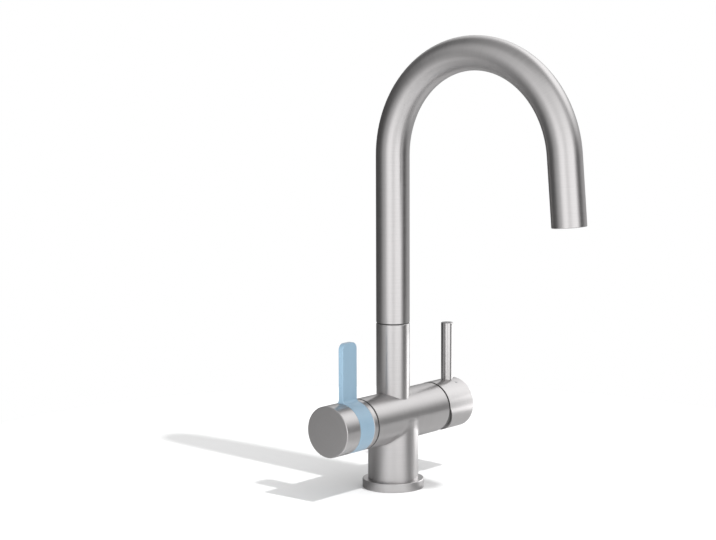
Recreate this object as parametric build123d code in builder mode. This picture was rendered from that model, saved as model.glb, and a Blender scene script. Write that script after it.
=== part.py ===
from build123d import *

import os
from math import cos, radians, sin, sqrt, tan

os.makedirs("parts", exist_ok=True)

# Three way filtered water tap: a steel cross body with a swan neck spout, a
# mixer knob with a pin lever on the right and a quarter turn lever for
# filtered water on the left.
#
# Lengths are in millimetres and angles in degrees. The origin is the middle
# of the base on the worktop. X runs along the cross body, to the filter
# lever at -X and to the mixer knob at +X. -Y points at the user, Z is up.

# ---------------------------------------------------------------- sizes

# Steel body
body_r = 21.2            # cross body, outside
column_step = 0.1        # the column is a hair thinner, so that the weld seam runs clean
body_wall = 2.0
axis_z = 60.0            # axis of the cross body above the worktop
filter_end = 44.1        # end face of the cross body on the filter side
mixer_end = 50.9         # end face of the cross body on the mixer side
neck_r = 14.0            # neck and spout tube, outside
neck_wall = 2.2
neck_top = 139.25
edge_break = 0.35        # broken edges of the steel pieces

# Clearances
weld_gap = 0.02          # between tubes that are welded to each other
fixed_play = 0.05        # between pieces that are fixed to each other
shaft_play = 0.05        # round a shaft that turns in its hole
run_gap = 0.3            # between larger pieces that move past each other
push_gap = 0.2           # round a sleeve that is slid in and stays

# Base flange and fixing under the worktop
flange_step = 4.7        # the flange stands out from the column
flange_h = 7.6
flange_lip = 3.0         # thickness under the foot of the column
seal_margin = 1.8        # from the flange's edge to the seal
seal_w = 4.0
seal_h = 1.5
worktop = 38.0           # thickness of the worktop that is clamped
shank_r = 16.4
shank_wall = 2.8
shank_grip = 11.5        # length screwed into the foot of the column
shank_below = 58.0       # length under the worktop's upper face
clamp_r = 27.0
clamp_seal_h = 3.0
clamp_plate_h = 2.5
nut_flats = 44.0
nut_h = 9.0

# Water ways
core_play = 0.3          # between the brass core and the steel body
core_in = 36.0           # left face of the core
seat_x = 27.0            # right face of the core, seat of the cartridge
core_flat = 15.2         # flat under the core, below the axis
way_plate_h = 8.8        # plate with the water ways, under that flat
port_r = 4.5             # M10x1 hose port
port_depth = 12.0        # also the thickness of the hose plate
port_pitch_r = 8.0       # the ports lie on this circle
way_r = 2.5              # drilled water ways
way_drop = 6.0           # inlet ways below the axis
mixed_rise = 6.0         # mixed water way above the axis
mixed_x = 8.0
riser_r = 4.0            # pipe that carries the filtered water upwards
riser_wall = 1.2
riser_entry = 22.0       # length of the pipe inside the nipple

# Mixer cartridge, 35 mm
cartridge_play = 1.8     # room round the cartridge
cartridge_wall = 2.2
cartridge_base_h = 3.0
cartridge_h = 17.5       # from the seat face to the shoulder
fixed_disc_h = 3.2
moving_disc_h = 2.9
moving_disc_room = 3.6   # round the moving disc, for its travel
driver_step = 0.8
disc_gap = 0.05
driver_h = 4.6
lip_reach = 3.2          # from the cartridge's bore in to the rotor's neck
lip_h = 2.0
window_rim = 2.5         # from the neck's outside to the window that the tail swings in
fork_in = 50.0
fork_out = 57.0          # outer end of the rotor's fork
pivot_x = 53.5           # the knob tilts about a pin here
pivot_pin_r = 2.0
stem_w = 7.8
stem_h = 8.0
tail_r = 2.2
tail_x = 39.2            # middle of the ball on the stem's tail
ball_r = 2.5
nut_ring_h = 3.5
tilt_range = 23.0        # the knob tilts this far

# Dome and mixer knob
dome_step = 0.8          # the dome is smaller than the body
dome_wall = 1.6
dome_end = 64.0
knob_start = 52.1
knob_end = 85.2
knob_step = 0.2          # the knob is larger than the body
relief_top = 1.0         # the lower half of the knob is cut back from here
cavity_end = 71.0
socket_depth = 9.0
knob_chamfer = 0.8
pin_r = 5.1
pin_x = 75.0
pin_top = 130.6
pin_sink = 2.0           # the pin's foot stands this deep in the knob
pin_thread_r = 3.0
pin_thread = 8.5
dot_r = 1.25
dot_x = 75.2
dot_angle = 27.0         # from the top towards the user
dot_h = 2.0
grub_r = 2.5
grub_x = 75.5
grub_length = 8.0

# Filter valve, half inch, quarter turn
valve_thread_r = 10.4
valve_thread = 20.0
valve_flange_h = 5.0
valve_neck_r = 8.0
valve_neck_end = 47.5
valve_disc_r = 8.4
valve_disc_h = 3.0
spindle_r = 4.0
spindle_end = 59.0

# Filter lever, its hub and its cap
bearing_step = 1.2       # the nose is smaller than the body's bore
bearing_wall = 2.6
bearing_in = 38.0
bearing_nose = 49.5
collar_start = 45.3      # steel collar beside the body
ring_start = 50.3        # blue ring
ring_end = 68.4
ring_wall = 2.8          # blue ring, outside to its seat on the hub
spigot_end = 66.0
web_start = 54.0
web_h = 6.0
hub_wall = 3.4
lever_thick = 4.8
lever_top = 130.2
lever_corner = 5.5
lever_root = 3.5
lever_edge = 0.7
key_w = 3.0
key_h = 1.2
cap_end = 85.2
cap_wall = 2.4
cap_chamfer = 1.0
plug_wall = 2.4
plug_start = 63.0
hub_screw_head_r = 3.9
hub_screw_head_h = 3.0
hub_screw_r = 2.0
hub_screw_length = 13.0

# Spout
slide_h = 0.7            # bearing ring that shows between neck and spout
spout_wall = 1.4
bend_z = 279.3           # the arch begins here
arch_r = 85.2
arch_angle = 175.1
outlet_run = 56.0        # straight end of the spout
nipple_r = 11.5
nipple_foot = 86.0
nipple_grip = 18.0       # length of the nipple inside the spout tube
nipple_ring_play = 0.1
nipple_way_r = 1.8
nipple_ways = 6
nipple_way_pitch_r = 7.0
guide_h = 6.0
latch_h = 4.4            # groove for the screw that keeps the spout in
latch_floor = 9.3
latch_tip_r = 1.8
hose_r = 4.0             # filtered water hose inside the spout
hose_wall = 1.0
aerator_r = 12.5
aerator_wall = 1.9
aerator_h = 14.0
aerator_inset = 0.6
screen_h = 5.0
screen_inset = 1.4
nozzle_r = 4.3
nozzle_bore = 3.0
nozzle_h = 9.0
nozzle_socket_h = 9.0
hose_socket = 8.0        # length of the hose inside the nipple

# ------------------------------------------------------- planes and axes

# On both of these planes x is the distance from the middle of the body and
# y the distance from the axis of the cross body.
mixer_plane = Plane(origin=(0, 0, axis_z), x_dir=(1, 0, 0), z_dir=(0, -1, 0))
filter_plane = Plane(origin=(0, 0, axis_z), x_dir=(-1, 0, 0), z_dir=(0, 1, 0))
cross_axis = Axis((0, 0, axis_z), (1, 0, 0))

column_foot = flange_lip
body_bore = body_r - body_wall
column_r = body_r - column_step
column_bore = column_r - body_wall
flange_r = column_r + flange_step
seal_out_r = flange_r - seal_margin
seal_in_r = seal_out_r - seal_w
neck_bore = neck_r - neck_wall
spout_foot = neck_top + slide_h
spout_bore = neck_r - spout_wall
core_r = body_bore - core_play
plate_seat = axis_z - core_flat
port_top = plate_seat - way_plate_h
port_foot = port_top - port_depth
cartridge_r = body_bore - cartridge_play
cartridge_bore = cartridge_r - cartridge_wall
rotor_neck_r = cartridge_bore - lip_reach
window_h = 2 * (rotor_neck_r - window_rim)
moving_disc_r = cartridge_bore - moving_disc_room
driver_r = moving_disc_r - driver_step
dome_r = body_r - dome_step
knob_r = body_r + knob_step
bearing_r = body_bore - bearing_step
bearing_bore = bearing_r - bearing_wall
valve_hex_r = bearing_bore - 2 * push_gap
spigot_r = body_r - ring_wall
hub_bore = spigot_r - hub_wall
plug_r = hub_bore - 2 * fixed_play
riser_top = nipple_foot + riser_entry
# five grooves share the nipple's length in the neck evenly: two O-rings, a
# guide ring, the latch screw and the other guide ring
groove_pitch = (neck_top - nipple_foot) / 5
o_ring_z = (nipple_foot + groove_pitch / 2, nipple_foot + 3 * groove_pitch / 2)
guide_z = (nipple_foot + 5 * groove_pitch / 2, nipple_foot + 9 * groove_pitch / 2)
latch_z = nipple_foot + 7 * groove_pitch / 2
pin_seat = axis_z + knob_r - pin_sink
hose_ports = {
    name: (port_pitch_r * cos(radians(angle)), port_pitch_r * sin(radians(angle)))
    for name, angle in (("hot", 90), ("filter", 210), ("cold", 330))
}
way_z = axis_z - way_drop
port_side = 6.0          # seat ports of hot and cold water, either side of the axis

# ------------------------------------------------------------ fixed body

# Cross body: level steel tube, open at both ends, that the column and the
# neck are welded to.
with BuildPart() as cross_body:
    with BuildSketch(Plane.YZ.offset(-filter_end)):
        with Locations((0, axis_z)):
            Circle(body_r)
    extrude(amount=filter_end + mixer_end)
    chamfer(cross_body.edges().filter_by(GeomType.CIRCLE), edge_break)
    with BuildSketch(Plane.YZ.offset(-filter_end)):
        with Locations((0, axis_z)):
            Circle(body_bore)
    extrude(amount=filter_end + mixer_end, mode=Mode.SUBTRACT)
    with BuildSketch(Plane.XY.offset(axis_z)):
        Circle(column_bore)
    extrude(amount=-body_r, mode=Mode.SUBTRACT)
    with BuildSketch(Plane.XY.offset(axis_z)):
        Circle(neck_bore)
    extrude(amount=body_r, mode=Mode.SUBTRACT)
cross_body.part.label = "cross_body"
export_step(cross_body.part, "parts/cross_body.step")

# Column: steel tube, coped to the cross body and threaded at its foot for
# the shank.
with BuildPart() as column:
    with BuildSketch(Plane.XY.offset(column_foot)):
        Circle(column_r)
    extrude(amount=axis_z - column_foot)
    with BuildSketch(Plane.XY.offset(column_foot)):
        Circle(shank_r + fixed_play)
    extrude(amount=shank_grip, mode=Mode.SUBTRACT)
    with BuildSketch(Plane.XY.offset(column_foot + shank_grip)):
        Circle(column_bore)
    extrude(amount=axis_z - column_foot - shank_grip, mode=Mode.SUBTRACT)
    with BuildSketch(Plane.YZ.offset(-filter_end)):
        with Locations((0, axis_z)):
            Circle(body_r + weld_gap)
    extrude(amount=filter_end + mixer_end, mode=Mode.SUBTRACT)
column.part.label = "column"
export_step(column.part, "parts/column.step")

# Neck: thick steel tube, coped to the cross body. The spout stands in it,
# kept in by a small screw at the back.
latch_screw_r = 2.5
with BuildPart() as neck:
    with BuildSketch(Plane.XY.offset(axis_z)):
        Circle(neck_r)
    extrude(amount=neck_top - axis_z)
    chamfer(neck.faces().sort_by(Axis.Z)[-1].edges(), edge_break)
    with BuildSketch(Plane.XY.offset(axis_z)):
        Circle(neck_bore)
    extrude(amount=neck_top - axis_z, mode=Mode.SUBTRACT)
    with BuildSketch(Plane.XZ.offset(-neck_r)):
        with Locations((0, latch_z)):
            Circle(latch_screw_r + fixed_play)
    extrude(amount=neck_wall + neck_wall, mode=Mode.SUBTRACT)
    with BuildSketch(Plane.YZ.offset(-filter_end)):
        with Locations((0, axis_z)):
            Circle(body_r + weld_gap)
    extrude(amount=filter_end + mixer_end, mode=Mode.SUBTRACT)
neck.part.label = "neck"
export_step(neck.part, "parts/neck.step")

# Base flange: a turned ring that the column stands in, with a groove for the
# seal in its underside.
with BuildPart() as base_flange:
    with BuildSketch(Plane.XZ):
        with BuildLine():
            Polyline(
                (shank_r + run_gap, 0),
                (flange_r, 0),
                (flange_r, flange_h),
                (column_r + fixed_play, flange_h),
                (column_r + fixed_play, flange_lip),
                (shank_r + run_gap, flange_lip),
                close=True,
            )
        make_face()
    revolve(axis=Axis.Z)
    with BuildSketch(Plane.XY):
        Circle(seal_out_r + fixed_play)
        Circle(seal_in_r - fixed_play, mode=Mode.SUBTRACT)
    extrude(amount=seal_h, mode=Mode.SUBTRACT)
    outer_rims = base_flange.edges().filter_by(GeomType.CIRCLE).sort_by(SortBy.RADIUS)[-2:]
    fillet(outer_rims.sort_by(Axis.Z)[-1], 2 * edge_break)
    chamfer(outer_rims.sort_by(Axis.Z)[0], edge_break)
base_flange.part.label = "base_flange"
export_step(base_flange.part, "parts/base_flange.step")

# Rubber seal in the flange's groove, flush with the worktop when tightened.
with BuildPart() as base_seal:
    with BuildSketch(Plane.XY):
        Circle(seal_out_r)
        Circle(seal_in_r, mode=Mode.SUBTRACT)
    extrude(amount=seal_h)
base_seal.part.label = "base_seal"
export_step(base_seal.part, "parts/base_seal.step")

# Threaded shank through the tap hole. The three supply hoses run up its bore.
shank_bore = shank_r - shank_wall
with BuildPart() as threaded_shank:
    with BuildSketch(Plane.XY.offset(-shank_below)):
        Circle(shank_r)
        Circle(shank_bore, mode=Mode.SUBTRACT)
    extrude(amount=shank_below + column_foot + shank_grip)
    shank_rims = threaded_shank.edges().filter_by(GeomType.CIRCLE).group_by(Axis.Z)[0]
    chamfer(shank_rims, shank_wall / 4)
threaded_shank.part.label = "threaded_shank"
export_step(threaded_shank.part, "parts/threaded_shank.step")

# Rubber washer, steel washer and nut that clamp the tap from below.
clamp_bore = shank_r + push_gap
with BuildPart() as clamp_seal:
    with BuildSketch(Plane.XY.offset(-worktop)):
        Circle(clamp_r)
        Circle(clamp_bore, mode=Mode.SUBTRACT)
    extrude(amount=-clamp_seal_h)
clamp_seal.part.label = "clamp_seal"
export_step(clamp_seal.part, "parts/clamp_seal.step")

plate_top = -worktop - clamp_seal_h
with BuildPart() as clamp_washer:
    with BuildSketch(Plane.XY.offset(plate_top)):
        Circle(clamp_r)
        Circle(clamp_bore, mode=Mode.SUBTRACT)
    extrude(amount=-clamp_plate_h)
    chamfer(clamp_washer.edges().filter_by(GeomType.CIRCLE).sort_by(SortBy.RADIUS)[-2:], edge_break)
clamp_washer.part.label = "clamp_washer"
export_step(clamp_washer.part, "parts/clamp_washer.step")

with BuildPart() as lock_nut:
    with BuildSketch(Plane.XY.offset(plate_top - clamp_plate_h)):
        RegularPolygon(nut_flats / 2, 6, major_radius=False)
        Circle(shank_r + fixed_play, mode=Mode.SUBTRACT)
    extrude(amount=-nut_h)
lock_nut.part.label = "lock_nut"
export_step(lock_nut.part, "parts/lock_nut.step")

# Hose plate: brass disc in the column with three M10x1 ports that face down
# the shank.
block_screws = ((12.5, 4.0), (-12.5, 4.0))
block_screw_r = 2.0
block_head_r = 3.2
block_head_h = 4.0
block_thread = 4.4
plate_r = column_bore - core_play
with BuildPart() as hose_plate:
    with BuildSketch(Plane.XY.offset(port_foot)):
        Circle(plate_r)
        with Locations(*hose_ports.values()):
            Circle(port_r, mode=Mode.SUBTRACT)
        with Locations(*block_screws):
            Circle(block_screw_r + fixed_play, mode=Mode.SUBTRACT)
    extrude(amount=port_depth)
    with BuildSketch(Plane.XY.offset(port_foot)):
        with Locations(*block_screws):
            Circle(block_head_r + fixed_play)
    extrude(amount=block_head_h + fixed_play, mode=Mode.SUBTRACT)
hose_plate.part.label = "hose_plate"
export_step(hose_plate.part, "parts/hose_plate.step")

# Way plate: narrows the ports to the core's water ways.
with BuildPart() as way_plate:
    with BuildSketch(Plane.XY.offset(port_top)):
        Circle(plate_r)
        with Locations(*hose_ports.values()):
            Circle(way_r, mode=Mode.SUBTRACT)
        with Locations(*block_screws):
            Circle(block_screw_r + fixed_play, mode=Mode.SUBTRACT)
    extrude(amount=way_plate_h)
way_plate.part.label = "way_plate"
export_step(way_plate.part, "parts/way_plate.step")

# Two socket screws that hold both plates under the core.
with BuildPart() as block_screw_pair:
    with BuildSketch(Plane.XY.offset(port_foot + fixed_play)):
        with Locations(*block_screws):
            Circle(block_head_r)
    extrude(amount=block_head_h)
    with BuildSketch(Plane.XY.offset(port_foot + block_head_h)):
        with Locations(*block_screws):
            Circle(block_screw_r)
    extrude(amount=plate_seat - port_foot - block_head_h + block_thread)
    with BuildSketch(Plane.XY.offset(port_foot + fixed_play)):
        with Locations(*block_screws):
            RegularPolygon(block_head_r / 2, 6)
    extrude(amount=block_head_h / 2, mode=Mode.SUBTRACT)
block_screw_pair.part.label = "block_screw_pair"
export_step(block_screw_pair.part, "parts/block_screw_pair.step")

# Brass core: a barrel slid into the cross body. It has a flat for the way
# plate, a threaded pocket for the filter valve on the left, the seat of the
# mixer cartridge on the right and drilled water ways between them.
valve_floor = core_in - valve_thread - 1.0
with BuildPart() as valve_core:
    with BuildSketch(Plane.YZ.offset(-core_in)):
        with Locations((0, axis_z)):
            Circle(core_r)
    extrude(amount=core_in + seat_x)
    with BuildSketch(Plane.XY.offset(plate_seat)):
        Rectangle(2 * (core_in + seat_x), 2 * body_r)
    extrude(amount=-core_r, mode=Mode.SUBTRACT)
    with BuildSketch(Plane.YZ.offset(-core_in)):
        with Locations((0, axis_z)):
            Circle(valve_thread_r + fixed_play)
    extrude(amount=core_in - valve_floor, mode=Mode.SUBTRACT)
    # upright ways above the three ports, and the screws' threads
    with BuildSketch(Plane.XY.offset(plate_seat)):
        with Locations(*hose_ports.values()):
            Circle(way_r)
    extrude(amount=way_z - plate_seat, mode=Mode.SUBTRACT)
    with BuildSketch(Plane.XY.offset(plate_seat)):
        with Locations(*block_screws):
            Circle(block_screw_r + fixed_play)
    extrude(amount=block_thread + fixed_play, mode=Mode.SUBTRACT)
    # level ways: hot and cold to the seat, mixed water back from it
    with BuildSketch(Plane.YZ.offset(hose_ports["hot"][0])):
        with Locations((port_side, way_z)):
            Circle(way_r)
    extrude(amount=seat_x - hose_ports["hot"][0], mode=Mode.SUBTRACT)
    with BuildSketch(Plane.YZ.offset(hose_ports["cold"][0])):
        with Locations((-port_side, way_z)):
            Circle(way_r)
    extrude(amount=seat_x - hose_ports["cold"][0], mode=Mode.SUBTRACT)
    with BuildSketch(Plane.YZ.offset(mixed_x)):
        with Locations((0, axis_z + mixed_rise)):
            Circle(way_r)
    extrude(amount=seat_x - mixed_x, mode=Mode.SUBTRACT)
    with BuildSketch(Plane.XY.offset(axis_z + mixed_rise)):
        with Locations((mixed_x, 0)):
            Circle(way_r)
    extrude(amount=core_r, mode=Mode.SUBTRACT)
    # filtered water to the valve, and from it to the riser
    with BuildSketch(Plane.YZ.offset(-valve_floor)):
        with Locations((hose_ports["filter"][1], way_z)):
            Circle(way_r)
    extrude(amount=valve_floor + hose_ports["filter"][0], mode=Mode.SUBTRACT)
    with BuildSketch(Plane.YZ.offset(-valve_floor)):
        with Locations((0, axis_z)):
            Circle(way_r)
    extrude(amount=valve_floor, mode=Mode.SUBTRACT)
    with BuildSketch(Plane.XY.offset(axis_z)):
        Circle(riser_r + fixed_play)
    extrude(amount=core_r, mode=Mode.SUBTRACT)
valve_core.part.label = "valve_core"
export_step(valve_core.part, "parts/valve_core.step")

# Riser: brass pipe that brings the filtered water up into the spout's
# nipple. An O-ring near its top seals it there.
riser_groove_z = riser_top - 4.0
riser_ring_r = 0.5
riser_ring_mid = riser_r - riser_ring_r + nipple_ring_play
with BuildPart() as filter_riser:
    with BuildSketch(Plane.XY.offset(axis_z + way_r)):
        Circle(riser_r)
        Circle(riser_r - riser_wall, mode=Mode.SUBTRACT)
    extrude(amount=riser_top - axis_z - way_r)
    with BuildSketch(Plane.XZ):
        with Locations((riser_r, riser_groove_z)):
            Rectangle(2 * (riser_r - riser_ring_mid + riser_ring_r + fixed_play), 3 * riser_ring_r)
    revolve(axis=Axis.Z, mode=Mode.SUBTRACT)
filter_riser.part.label = "filter_riser"
export_step(filter_riser.part, "parts/filter_riser.step")

with BuildPart() as riser_o_ring:
    with BuildSketch(Plane.XZ):
        with Locations((riser_ring_mid, riser_groove_z)):
            Circle(riser_ring_r)
    revolve(axis=Axis.Z)
riser_o_ring.part.label = "riser_o_ring"
export_step(riser_o_ring.part, "parts/riser_o_ring.step")

# ------------------------------------------------------- mixer cartridge

# Ports in the cartridge's base and fixed disc, in line with the core's ways.
seat_ports = ((port_side, -way_drop), (-port_side, -way_drop), (0, mixed_rise))

# Cartridge base: plastic disc on the core's seat.
with BuildPart() as cartridge_base:
    with BuildSketch(Plane.YZ.offset(seat_x)):
        with Locations((0, axis_z)):
            Circle(cartridge_r)
        with Locations(*[(y, axis_z + z) for y, z in seat_ports]):
            Circle(way_r, mode=Mode.SUBTRACT)
    extrude(amount=cartridge_base_h)
cartridge_base.part.label = "cartridge_base"
export_step(cartridge_base.part, "parts/cartridge_base.step")

# Cartridge housing: plastic cup whose lip keeps the rotor in.
housing_x = seat_x + cartridge_base_h
shoulder_x = seat_x + cartridge_h
with BuildPart() as cartridge_housing:
    with BuildSketch(mixer_plane):
        with BuildLine():
            Polyline(
                (housing_x, cartridge_bore),
                (housing_x, cartridge_r),
                (shoulder_x, cartridge_r),
                (shoulder_x, rotor_neck_r + run_gap),
                (shoulder_x - lip_h, rotor_neck_r + run_gap),
                (shoulder_x - lip_h, cartridge_bore),
                close=True,
            )
        make_face()
    revolve(axis=cross_axis)
cartridge_housing.part.label = "cartridge_housing"
export_step(cartridge_housing.part, "parts/cartridge_housing.step")

# Fixed ceramic disc.
with BuildPart() as fixed_disc:
    with BuildSketch(Plane.YZ.offset(housing_x)):
        with Locations((0, axis_z)):
            Circle(cartridge_bore - push_gap)
        with Locations(*[(y, axis_z + z) for y, z in seat_ports]):
            Circle(way_r, mode=Mode.SUBTRACT)
    extrude(amount=fixed_disc_h)
fixed_disc.part.label = "fixed_disc"
export_step(fixed_disc.part, "parts/fixed_disc.step")

# Moving ceramic disc and its driver. They slide across the fixed disc as the
# knob tilts and turn with it. With the lever upright they stand half of
# their travel below the axis.
tail_arm = pivot_x - tail_x
disc_travel = tail_arm * sin(radians(tilt_range))
disc_drop = disc_travel / 2
moving_disc_x = housing_x + fixed_disc_h + disc_gap
driver_x = moving_disc_x + moving_disc_h
with BuildPart() as moving_disc:
    with BuildSketch(Plane.YZ.offset(moving_disc_x)):
        with Locations((0, axis_z - disc_drop)):
            Circle(moving_disc_r)
    extrude(amount=moving_disc_h)
    # pocket across which the water passes from port to port
    with BuildSketch(Plane.YZ.offset(moving_disc_x)):
        with Locations((0, axis_z - disc_drop + mixed_rise / 2)):
            SlotOverall(3 * port_side / 2, port_side)
    extrude(amount=moving_disc_h / 2, mode=Mode.SUBTRACT)
moving_disc.part.label = "moving_disc"
export_step(moving_disc.part, "parts/moving_disc.step")

slot_w = stem_w + 2 * push_gap
tongue_w = slot_w - push_gap
tongue_length = window_h - disc_travel - 2 * run_gap
tongue_h = 1.1
with BuildPart() as disc_driver:
    with BuildSketch(Plane.YZ.offset(driver_x)):
        with Locations((0, axis_z - disc_drop)):
            Circle(driver_r)
    extrude(amount=driver_h - tongue_h)
    with BuildSketch(Plane.YZ.offset(driver_x + driver_h - tongue_h)):
        with Locations((0, axis_z - disc_drop)):
            Rectangle(tongue_w, tongue_length)
    extrude(amount=tongue_h)
    with BuildSketch(Plane.YZ.offset(driver_x + run_gap)):
        with Locations((0, axis_z)):
            Rectangle(2 * ball_r + run_gap, 2 * ball_r + 2 * push_gap)
    extrude(amount=driver_h, mode=Mode.SUBTRACT)
disc_driver.part.label = "disc_driver"
export_step(disc_driver.part, "parts/disc_driver.step")

# Rotor: plastic spindle head that turns in the housing. Its window lets the
# stem's tail swing, and its fork holds the pivot pin.
rotor_x = driver_x + driver_h - tongue_h + run_gap / 2
flange_end = shoulder_x - lip_h - run_gap / 2
with BuildPart() as cartridge_rotor:
    with BuildSketch(mixer_plane):
        with BuildLine():
            Polyline(
                (rotor_x, 0),
                (rotor_x, cartridge_bore - push_gap),
                (flange_end, cartridge_bore - push_gap),
                (flange_end, rotor_neck_r),
                (fork_out, rotor_neck_r),
                (fork_out, 0),
                close=True,
            )
        make_face()
    revolve(axis=cross_axis)
    with BuildSketch(Plane.YZ.offset(rotor_x)):
        with Locations((0, axis_z)):
            Rectangle(slot_w, window_h)
    extrude(amount=fork_out - rotor_x, mode=Mode.SUBTRACT)
    with BuildSketch(Plane.YZ.offset(fork_in)):
        with Locations((0, axis_z)):
            Rectangle(slot_w, 2 * rotor_neck_r)
    extrude(amount=fork_out - fork_in, mode=Mode.SUBTRACT)
    with BuildSketch(Plane.XZ):
        with Locations((pivot_x, axis_z)):
            Circle(pivot_pin_r + fixed_play / 2)
    extrude(amount=rotor_neck_r, both=True, mode=Mode.SUBTRACT)
cartridge_rotor.part.label = "cartridge_rotor"
export_step(cartridge_rotor.part, "parts/cartridge_rotor.step")

# Pivot pin through the fork and the stem.
with BuildPart() as pivot_pin:
    with BuildSketch(Plane.XZ):
        with Locations((pivot_x, axis_z)):
            Circle(pivot_pin_r)
    extrude(amount=sqrt(rotor_neck_r**2 - pivot_pin_r**2) - push_gap, both=True)
pivot_pin.part.label = "pivot_pin"
export_step(pivot_pin.part, "parts/pivot_pin.step")

# Stem: steel lever on the pivot pin. Its ball end moves the discs, and its
# square end carries the knob.
stem_start = 46.0
stem_end = cavity_end + socket_depth - push_gap
with BuildPart() as cartridge_stem:
    with BuildSketch(Plane.YZ.offset(stem_start)):
        with Locations((0, axis_z)):
            Rectangle(stem_w, stem_h)
    extrude(amount=stem_end - stem_start)
    with BuildSketch(mixer_plane):
        with BuildLine():
            Line((tail_x - ball_r, 0), (stem_start, 0))
            Line((stem_start, 0), (stem_start, tail_r))
            Line((stem_start, tail_r), (tail_x + sqrt(ball_r**2 - tail_r**2), tail_r))
            ThreePointArc(
                (tail_x + sqrt(ball_r**2 - tail_r**2), tail_r),
                (tail_x, ball_r),
                (tail_x - ball_r, 0),
            )
        make_face()
    revolve(axis=cross_axis)
    with BuildSketch(Plane.XZ):
        with Locations((pivot_x, axis_z)):
            Circle(pivot_pin_r + shaft_play)
    extrude(amount=stem_w, both=True, mode=Mode.SUBTRACT)
cartridge_stem.part.label = "cartridge_stem"
export_step(cartridge_stem.part, "parts/cartridge_stem.step")

# Ring nut that clamps the cartridge in the body.
ring_nut_end = shoulder_x + nut_ring_h
with BuildPart() as cartridge_nut:
    with BuildSketch(Plane.YZ.offset(shoulder_x)):
        with Locations((0, axis_z)):
            Circle(body_bore - fixed_play)
            Circle(rotor_neck_r + 2 * run_gap, mode=Mode.SUBTRACT)
    extrude(amount=nut_ring_h)
cartridge_nut.part.label = "cartridge_nut"
export_step(cartridge_nut.part, "parts/cartridge_nut.step")

# Dome: round cover of the cartridge, screwed into the body. Its middle is
# the knob's pivot, so that the knob tilts and turns round it.
dome_bore = dome_r - dome_wall
dome_skirt_r = body_bore - fixed_play
dome_foot_r = sqrt(dome_r**2 - (pivot_x - mixer_end) ** 2)
dome_end_r = sqrt(dome_r**2 - (dome_end - pivot_x) ** 2)
dome_end_bore = sqrt(dome_bore**2 - (dome_end - pivot_x) ** 2)
dome_skirt_bore = sqrt(dome_bore**2 - (pivot_x - ring_nut_end) ** 2)
with BuildPart() as dome_cover:
    with BuildSketch(mixer_plane):
        with BuildLine():
            Polyline(
                (ring_nut_end, dome_skirt_bore),
                (ring_nut_end, dome_skirt_r),
                (mixer_end, dome_skirt_r),
                (mixer_end, dome_foot_r),
            )
            ThreePointArc((mixer_end, dome_foot_r), (pivot_x, dome_r), (dome_end, dome_end_r))
            Line((dome_end, dome_end_r), (dome_end, dome_end_bore))
            ThreePointArc(
                (dome_end, dome_end_bore), (pivot_x, dome_bore), (ring_nut_end, dome_skirt_bore)
            )
        make_face()
    revolve(axis=cross_axis)
dome_cover.part.label = "dome_cover"
export_step(dome_cover.part, "parts/dome_cover.step")

# ------------------------------------------------------------ mixer knob

# Knob: turned from solid steel, hollow as a ball socket round the dome. The
# lower half of its inner face is cut back by the range of the tilt.
cavity_r = dome_r + run_gap
cavity_mouth_r = sqrt(cavity_r**2 - (pivot_x - knob_start) ** 2)
cavity_end_r = sqrt(cavity_r**2 - (cavity_end - pivot_x) ** 2)
relief_depth = knob_r + relief_top + 1
dot_side = -sin(radians(dot_angle))
dot_up = cos(radians(dot_angle))
dot_seat = knob_r - dot_h
dot_plane = Plane(
    origin=(dot_x, dot_seat * dot_side, axis_z + dot_seat * dot_up),
    x_dir=(1, 0, 0),
    z_dir=(0, dot_side, dot_up),
)
with BuildPart() as mixer_knob:
    with BuildSketch(Plane.YZ.offset(knob_start)):
        with Locations((0, axis_z)):
            Circle(knob_r)
    extrude(amount=knob_end - knob_start)
    chamfer(mixer_knob.edges().sort_by(Axis.X)[-1], knob_chamfer)
    chamfer(mixer_knob.edges().sort_by(Axis.X)[0], edge_break)
    with BuildSketch(mixer_plane):
        with BuildLine():
            Polyline((cavity_end, cavity_end_r), (cavity_end, 0), (knob_start, 0), (knob_start, cavity_mouth_r))
            ThreePointArc(
                (knob_start, cavity_mouth_r), (pivot_x, cavity_r), (cavity_end, cavity_end_r)
            )
        make_face()
    revolve(axis=cross_axis, mode=Mode.SUBTRACT)
    with BuildSketch(mixer_plane):
        with BuildLine():
            Polyline(
                (knob_start, relief_top),
                (knob_start, relief_top - relief_depth),
                (knob_start + relief_depth * tan(radians(tilt_range)), relief_top - relief_depth),
                close=True,
            )
        make_face()
    extrude(amount=knob_r, both=True, mode=Mode.SUBTRACT)
    with BuildSketch(Plane.YZ.offset(cavity_end)):
        with Locations((0, axis_z)):
            Rectangle(stem_w + 2 * fixed_play, stem_h + 2 * fixed_play)
    extrude(amount=socket_depth, mode=Mode.SUBTRACT)
    # seat and thread of the pin lever
    with BuildSketch(Plane.XY.offset(pin_seat)):
        with Locations((pin_x, 0)):
            Circle(pin_r + fixed_play)
    extrude(amount=knob_r, mode=Mode.SUBTRACT)
    with BuildSketch(Plane.XY.offset(pin_seat)):
        with Locations((pin_x, 0)):
            Circle(pin_thread_r + fixed_play)
    extrude(amount=-pin_thread - fixed_play, mode=Mode.SUBTRACT)
    # grub screw from below, onto the stem
    with BuildSketch(Plane.XY.offset(axis_z - stem_h / 2)):
        with Locations((grub_x, 0)):
            Circle(grub_r + fixed_play)
    extrude(amount=-knob_r, mode=Mode.SUBTRACT)
    with BuildSketch(dot_plane):
        Circle(dot_r + fixed_play)
    extrude(amount=dot_h + 1, mode=Mode.SUBTRACT)
mixer_knob.part.label = "mixer_knob"
export_step(mixer_knob.part, "parts/mixer_knob.step")

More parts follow.
